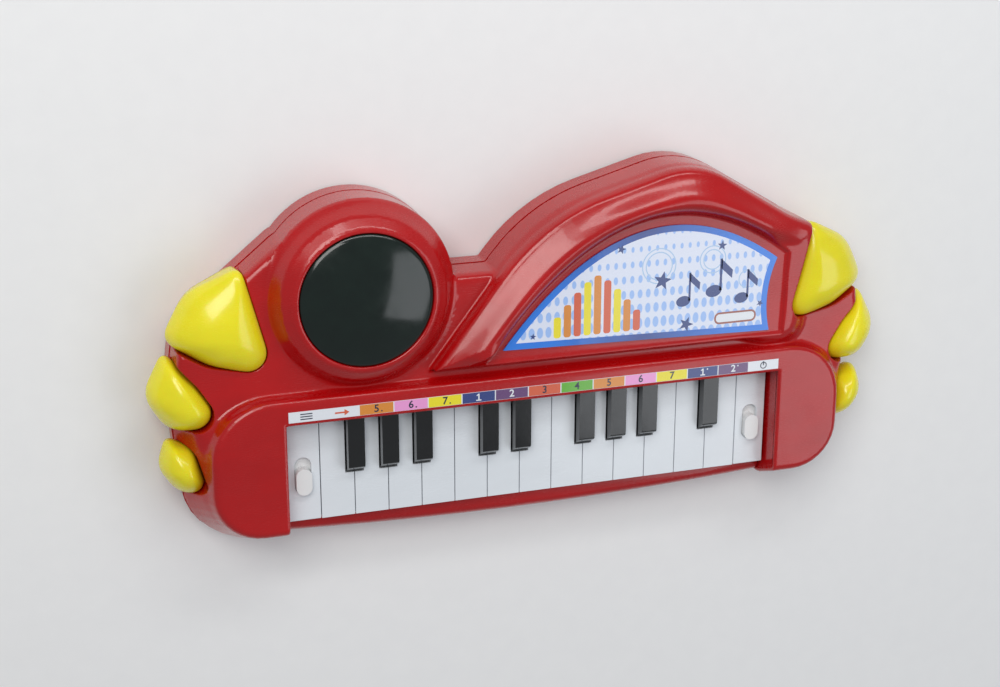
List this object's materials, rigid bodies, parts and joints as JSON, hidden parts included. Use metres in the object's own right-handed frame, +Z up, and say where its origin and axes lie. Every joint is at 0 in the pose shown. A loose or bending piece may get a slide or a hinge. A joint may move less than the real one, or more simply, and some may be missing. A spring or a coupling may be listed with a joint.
{
  "type": "toy electronic keyboard",
  "caption": "Free-standing toy keyboard: red two-shell case with claw trims, arched label, round lamp window, hinged sprung keys, slide switches and a battery door underneath.",
  "frame": {"origin": "middle of the footprint, on the surface that the rubber feet stand on", "axes": "+X along the key row to the player's right, +Y away from the player, +Z up"},
  "size_m": [0.394, 0.1842, 0.05],
  "materials": {
    "red_case": "gloss",
    "yellow_trim": "gloss",
    "white_plastic": "gloss",
    "knob_plastic": "satin",
    "black_plastic": "gloss",
    "smoky_window": "polished",
    "printed_label": "satin",
    "note_print": "satin",
    "dark_rubber": "matte",
    "grey_rubber": "matte",
    "steel": "brushed",
    "circuit_board": "satin",
    "lamp_colours": "gloss",
    "speaker_paper": "matte",
    "magnet_grey": "matte",
    "cell_wrap": "gloss"
  },
  "bodies": {
    "case": {"lower_case": "red_case", "upper_case": "red_case", "rubber_feet": "dark_rubber", "case_screws": "steel", "round_window": "smoky_window", "light_board": "circuit_board", "lamp_leds": "lamp_colours", "label_panel": "printed_label", "note_strip": "note_print", "left_switch_panel": "white_plastic", "right_switch_panel": "white_plastic", "mode_switch_body": "steel", "power_switch_body": "steel", "key_hinge_rod": "steel", "key_contact_board": "circuit_board", "rubber_contacts": "grey_rubber", "main_board": "circuit_board", "speaker_frame": "steel", "speaker_cone": "speaker_paper", "speaker_magnet": "magnet_grey", "battery_cells": "cell_wrap", "battery_contacts": "steel", "left_claw_upper": "yellow_trim", "left_claw_middle": "yellow_trim", "left_claw_lower": "yellow_trim", "right_claw_upper": "yellow_trim", "right_claw_middle": "yellow_trim", "right_claw_lower": "yellow_trim"},
    "white_key_01": {"white_key_01": "white_plastic"},
    "white_key_02": {"white_key_02": "white_plastic"},
    "white_key_03": {"white_key_03": "white_plastic"},
    "white_key_04": {"white_key_04": "white_plastic"},
    "white_key_05": {"white_key_05": "white_plastic"},
    "white_key_06": {"white_key_06": "white_plastic"},
    "white_key_07": {"white_key_07": "white_plastic"},
    "white_key_08": {"white_key_08": "white_plastic"},
    "white_key_09": {"white_key_09": "white_plastic"},
    "white_key_10": {"white_key_10": "white_plastic"},
    "white_key_11": {"white_key_11": "white_plastic"},
    "white_key_12": {"white_key_12": "white_plastic"},
    "white_key_13": {"white_key_13": "white_plastic"},
    "black_key_01": {"black_key_01": "black_plastic"},
    "black_key_02": {"black_key_02": "black_plastic"},
    "black_key_03": {"black_key_03": "black_plastic"},
    "black_key_04": {"black_key_04": "black_plastic"},
    "black_key_05": {"black_key_05": "black_plastic"},
    "black_key_06": {"black_key_06": "black_plastic"},
    "black_key_07": {"black_key_07": "black_plastic"},
    "black_key_08": {"black_key_08": "black_plastic"},
    "black_key_09": {"black_key_09": "black_plastic"},
    "mode_switch": {"mode_switch_knob": "knob_plastic", "mode_switch_lever": "black_plastic"},
    "power_switch": {"power_switch_knob": "knob_plastic", "power_switch_lever": "black_plastic"},
    "battery_door": {"battery_door": "red_case", "battery_door_screw": "steel"}
  },
  "joints": [
    {"name": "white_key_01_press", "type": "hinge", "parent": "case", "child": "white_key_01", "pos_m": [-0.1056, -0.004, 0.018], "axis": [1, 0, 0], "range_deg": [0, 3.2], "stiffness_Nm_per_rad": 0.6, "springref_deg": -1.72, "deforming": ["rubber_contacts"]},
    {"name": "white_key_02_press", "type": "hinge", "parent": "case", "child": "white_key_02", "pos_m": [-0.088, -0.004, 0.018], "axis": [1, 0, 0], "range_deg": [0, 3.2], "stiffness_Nm_per_rad": 0.6, "springref_deg": -1.72, "deforming": ["rubber_contacts"]},
    {"name": "white_key_03_press", "type": "hinge", "parent": "case", "child": "white_key_03", "pos_m": [-0.0704, -0.004, 0.018], "axis": [1, 0, 0], "range_deg": [0, 3.2], "stiffness_Nm_per_rad": 0.6, "springref_deg": -1.72, "deforming": ["rubber_contacts"]},
    {"name": "white_key_04_press", "type": "hinge", "parent": "case", "child": "white_key_04", "pos_m": [-0.0528, -0.004, 0.018], "axis": [1, 0, 0], "range_deg": [0, 3.2], "stiffness_Nm_per_rad": 0.6, "springref_deg": -1.72, "deforming": ["rubber_contacts"]},
    {"name": "white_key_05_press", "type": "hinge", "parent": "case", "child": "white_key_05", "pos_m": [-0.0352, -0.004, 0.018], "axis": [1, 0, 0], "range_deg": [0, 3.2], "stiffness_Nm_per_rad": 0.6, "springref_deg": -1.72, "deforming": ["rubber_contacts"]},
    {"name": "white_key_06_press", "type": "hinge", "parent": "case", "child": "white_key_06", "pos_m": [-0.0176, -0.004, 0.018], "axis": [1, 0, 0], "range_deg": [0, 3.2], "stiffness_Nm_per_rad": 0.6, "springref_deg": -1.72, "deforming": ["rubber_contacts"]},
    {"name": "white_key_07_press", "type": "hinge", "parent": "case", "child": "white_key_07", "pos_m": [0, -0.004, 0.018], "axis": [1, 0, 0], "range_deg": [0, 3.2], "stiffness_Nm_per_rad": 0.6, "springref_deg": -1.72, "deforming": ["rubber_contacts"]},
    {"name": "white_key_08_press", "type": "hinge", "parent": "case", "child": "white_key_08", "pos_m": [0.0176, -0.004, 0.018], "axis": [1, 0, 0], "range_deg": [0, 3.2], "stiffness_Nm_per_rad": 0.6, "springref_deg": -1.72, "deforming": ["rubber_contacts"]},
    {"name": "white_key_09_press", "type": "hinge", "parent": "case", "child": "white_key_09", "pos_m": [0.0352, -0.004, 0.018], "axis": [1, 0, 0], "range_deg": [0, 3.2], "stiffness_Nm_per_rad": 0.6, "springref_deg": -1.72, "deforming": ["rubber_contacts"]},
    {"name": "white_key_10_press", "type": "hinge", "parent": "case", "child": "white_key_10", "pos_m": [0.0528, -0.004, 0.018], "axis": [1, 0, 0], "range_deg": [0, 3.2], "stiffness_Nm_per_rad": 0.6, "springref_deg": -1.72, "deforming": ["rubber_contacts"]},
    {"name": "white_key_11_press", "type": "hinge", "parent": "case", "child": "white_key_11", "pos_m": [0.0704, -0.004, 0.018], "axis": [1, 0, 0], "range_deg": [0, 3.2], "stiffness_Nm_per_rad": 0.6, "springref_deg": -1.72, "deforming": ["rubber_contacts"]},
    {"name": "white_key_12_press", "type": "hinge", "parent": "case", "child": "white_key_12", "pos_m": [0.088, -0.004, 0.018], "axis": [1, 0, 0], "range_deg": [0, 3.2], "stiffness_Nm_per_rad": 0.6, "springref_deg": -1.72, "deforming": ["rubber_contacts"]},
    {"name": "white_key_13_press", "type": "hinge", "parent": "case", "child": "white_key_13", "pos_m": [0.1056, -0.004, 0.018], "axis": [1, 0, 0], "range_deg": [0, 3.2], "stiffness_Nm_per_rad": 0.6, "springref_deg": -1.72, "deforming": ["rubber_contacts"]},
    {"name": "black_key_01_press", "type": "hinge", "parent": "case", "child": "black_key_01", "pos_m": [-0.0968, -0.004, 0.018], "axis": [1, 0, 0], "range_deg": [0, 3.2], "stiffness_Nm_per_rad": 0.6, "springref_deg": -1.72, "deforming": ["rubber_contacts"]},
    {"name": "black_key_02_press", "type": "hinge", "parent": "case", "child": "black_key_02", "pos_m": [-0.0792, -0.004, 0.018], "axis": [1, 0, 0], "range_deg": [0, 3.2], "stiffness_Nm_per_rad": 0.6, "springref_deg": -1.72, "deforming": ["rubber_contacts"]},
    {"name": "black_key_03_press", "type": "hinge", "parent": "case", "child": "black_key_03", "pos_m": [-0.0616, -0.004, 0.018], "axis": [1, 0, 0], "range_deg": [0, 3.2], "stiffness_Nm_per_rad": 0.6, "springref_deg": -1.72, "deforming": ["rubber_contacts"]},
    {"name": "black_key_04_press", "type": "hinge", "parent": "case", "child": "black_key_04", "pos_m": [-0.0264, -0.004, 0.018], "axis": [1, 0, 0], "range_deg": [0, 3.2], "stiffness_Nm_per_rad": 0.6, "springref_deg": -1.72, "deforming": ["rubber_contacts"]},
    {"name": "black_key_05_press", "type": "hinge", "parent": "case", "child": "black_key_05", "pos_m": [-0.0088, -0.004, 0.018], "axis": [1, 0, 0], "range_deg": [0, 3.2], "stiffness_Nm_per_rad": 0.6, "springref_deg": -1.72, "deforming": ["rubber_contacts"]},
    {"name": "black_key_06_press", "type": "hinge", "parent": "case", "child": "black_key_06", "pos_m": [0.0264, -0.004, 0.018], "axis": [1, 0, 0], "range_deg": [0, 3.2], "stiffness_Nm_per_rad": 0.6, "springref_deg": -1.72, "deforming": ["rubber_contacts"]},
    {"name": "black_key_07_press", "type": "hinge", "parent": "case", "child": "black_key_07", "pos_m": [0.044, -0.004, 0.018], "axis": [1, 0, 0], "range_deg": [0, 3.2], "stiffness_Nm_per_rad": 0.6, "springref_deg": -1.72, "deforming": ["rubber_contacts"]},
    {"name": "black_key_08_press", "type": "hinge", "parent": "case", "child": "black_key_08", "pos_m": [0.0616, -0.004, 0.018], "axis": [1, 0, 0], "range_deg": [0, 3.2], "stiffness_Nm_per_rad": 0.6, "springref_deg": -1.72, "deforming": ["rubber_contacts"]},
    {"name": "black_key_09_press", "type": "hinge", "parent": "case", "child": "black_key_09", "pos_m": [0.0968, -0.004, 0.018], "axis": [1, 0, 0], "range_deg": [0, 3.2], "stiffness_Nm_per_rad": 0.6, "springref_deg": -1.72, "deforming": ["rubber_contacts"]},
    {"name": "mode_switch_slide", "type": "slide", "parent": "case", "child": "mode_switch", "axis": [0, 1, 0], "range_m": [0, 0.005]},
    {"name": "power_switch_slide", "type": "slide", "parent": "case", "child": "power_switch", "axis": [0, 1, 0], "range_m": [0, 0.005]},
    {"name": "battery_door_swing", "type": "hinge", "parent": "case", "child": "battery_door", "pos_m": [0.09375, 0.0546, 0.0025], "axis": [1, 0, 0], "range_deg": [0, 85]}
  ]
}
